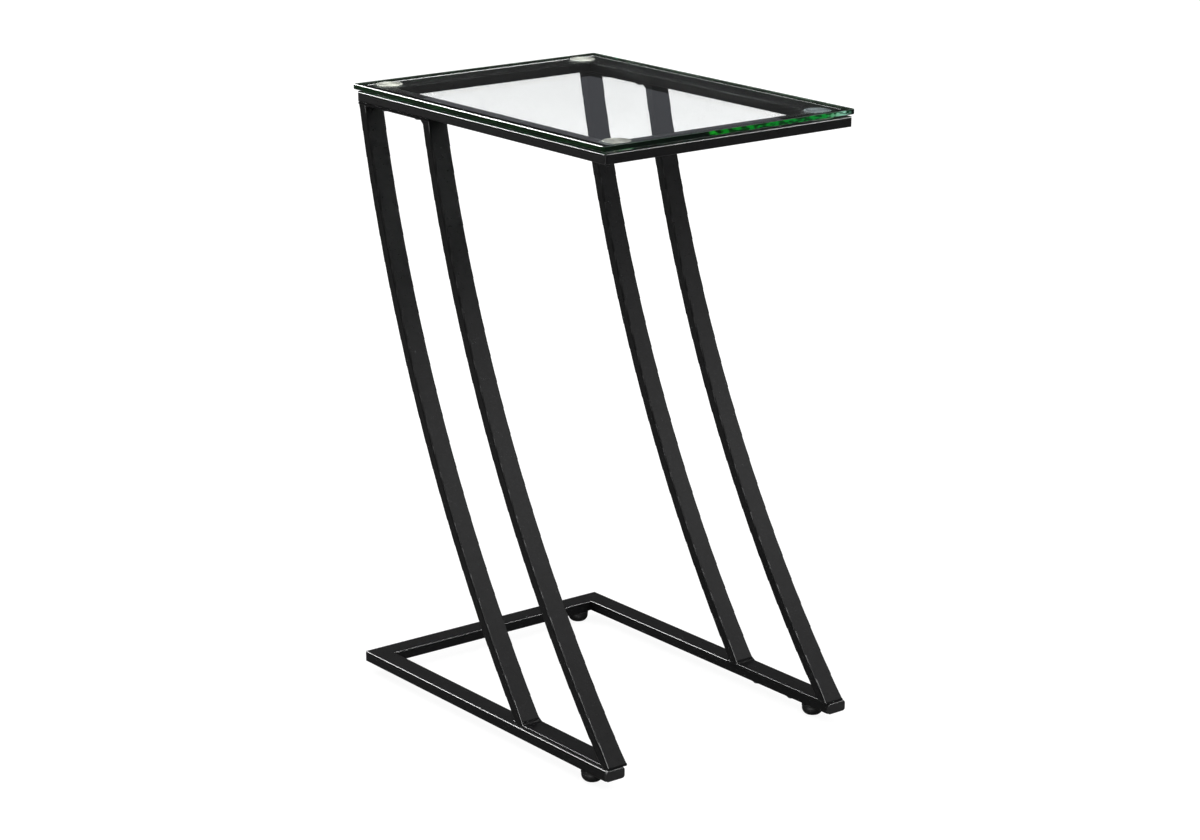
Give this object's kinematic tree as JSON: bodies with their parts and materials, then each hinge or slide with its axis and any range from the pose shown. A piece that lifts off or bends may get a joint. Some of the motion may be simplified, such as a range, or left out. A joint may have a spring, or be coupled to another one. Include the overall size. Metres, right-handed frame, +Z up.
{
  "type": "side table",
  "caption": "Side table with a slanted C-like side: clear glass top on metal discs, black tube frame with curved legs, and a U-shaped base on screw-out glides.",
  "frame": {"origin": "on the floor, under the middle of the whole table's box", "axes": "+Z up, -Y towards the open front of the base, +X to the right-hand side"},
  "size_m": [0.298, 0.404, 0.61],
  "materials": {
    "clear_glass": "clear tempered float glass, polished flat edges with a green body tint",
    "turned_steel": "bare steel, turned so that the marks run in rings",
    "zinc_plated_steel": "bright zinc plate",
    "black_powder_coat": "satin black powder coat",
    "black_plastic": "moulded black polyethylene"
  },
  "bodies": {
    "table_frame": {"base_rail_left": "black_powder_coat", "base_rail_rear": "black_powder_coat", "base_rail_right": "black_powder_coat", "end_cap_left": "black_plastic", "end_cap_right": "black_plastic", "foot_plate_bolts": "zinc_plated_steel", "foot_plate_bosses": "zinc_plated_steel", "glass_disc_front_left": "turned_steel", "glass_disc_front_right": "turned_steel", "glass_disc_rear_left": "turned_steel", "glass_disc_rear_right": "turned_steel", "glass_fixing_screws": "zinc_plated_steel", "glass_fixing_washers": "zinc_plated_steel", "glass_top": "clear_glass", "glide_bushes": "zinc_plated_steel", "leg_foot_plate_left": "black_powder_coat", "leg_foot_plate_right": "black_powder_coat", "leg_front_left": "black_powder_coat", "leg_front_right": "black_powder_coat", "leg_rear_left": "black_powder_coat", "leg_rear_right": "black_powder_coat", "leg_top_plate_left": "black_powder_coat", "leg_top_plate_right": "black_powder_coat", "top_plate_bolts": "zinc_plated_steel", "top_rail_bushes": "zinc_plated_steel", "top_rail_front": "black_powder_coat", "top_rail_left": "black_powder_coat", "top_rail_rear": "black_powder_coat", "top_rail_right": "black_powder_coat"},
    "glide_front_left": {"glide_cup_front_left": "black_plastic", "glide_stud_front_left": "zinc_plated_steel"},
    "glide_front_right": {"glide_cup_front_right": "black_plastic", "glide_stud_front_right": "zinc_plated_steel"},
    "glide_rear_left": {"glide_cup_rear_left": "black_plastic", "glide_stud_rear_left": "zinc_plated_steel"},
    "glide_rear_right": {"glide_cup_rear_right": "black_plastic", "glide_stud_rear_right": "zinc_plated_steel"}
  },
  "joints": [
    {"name": "glide_front_left_height", "type": "slide", "parent": "table_frame", "child": "glide_front_left", "axis": [0, 0, -1], "range_m": [0, 0.005]},
    {"name": "glide_front_right_height", "type": "slide", "parent": "table_frame", "child": "glide_front_right", "axis": [0, 0, -1], "range_m": [0, 0.005]},
    {"name": "glide_rear_left_height", "type": "slide", "parent": "table_frame", "child": "glide_rear_left", "axis": [0, 0, -1], "range_m": [0, 0.005]},
    {"name": "glide_rear_right_height", "type": "slide", "parent": "table_frame", "child": "glide_rear_right", "axis": [0, 0, -1], "range_m": [0, 0.005]}
  ]
}
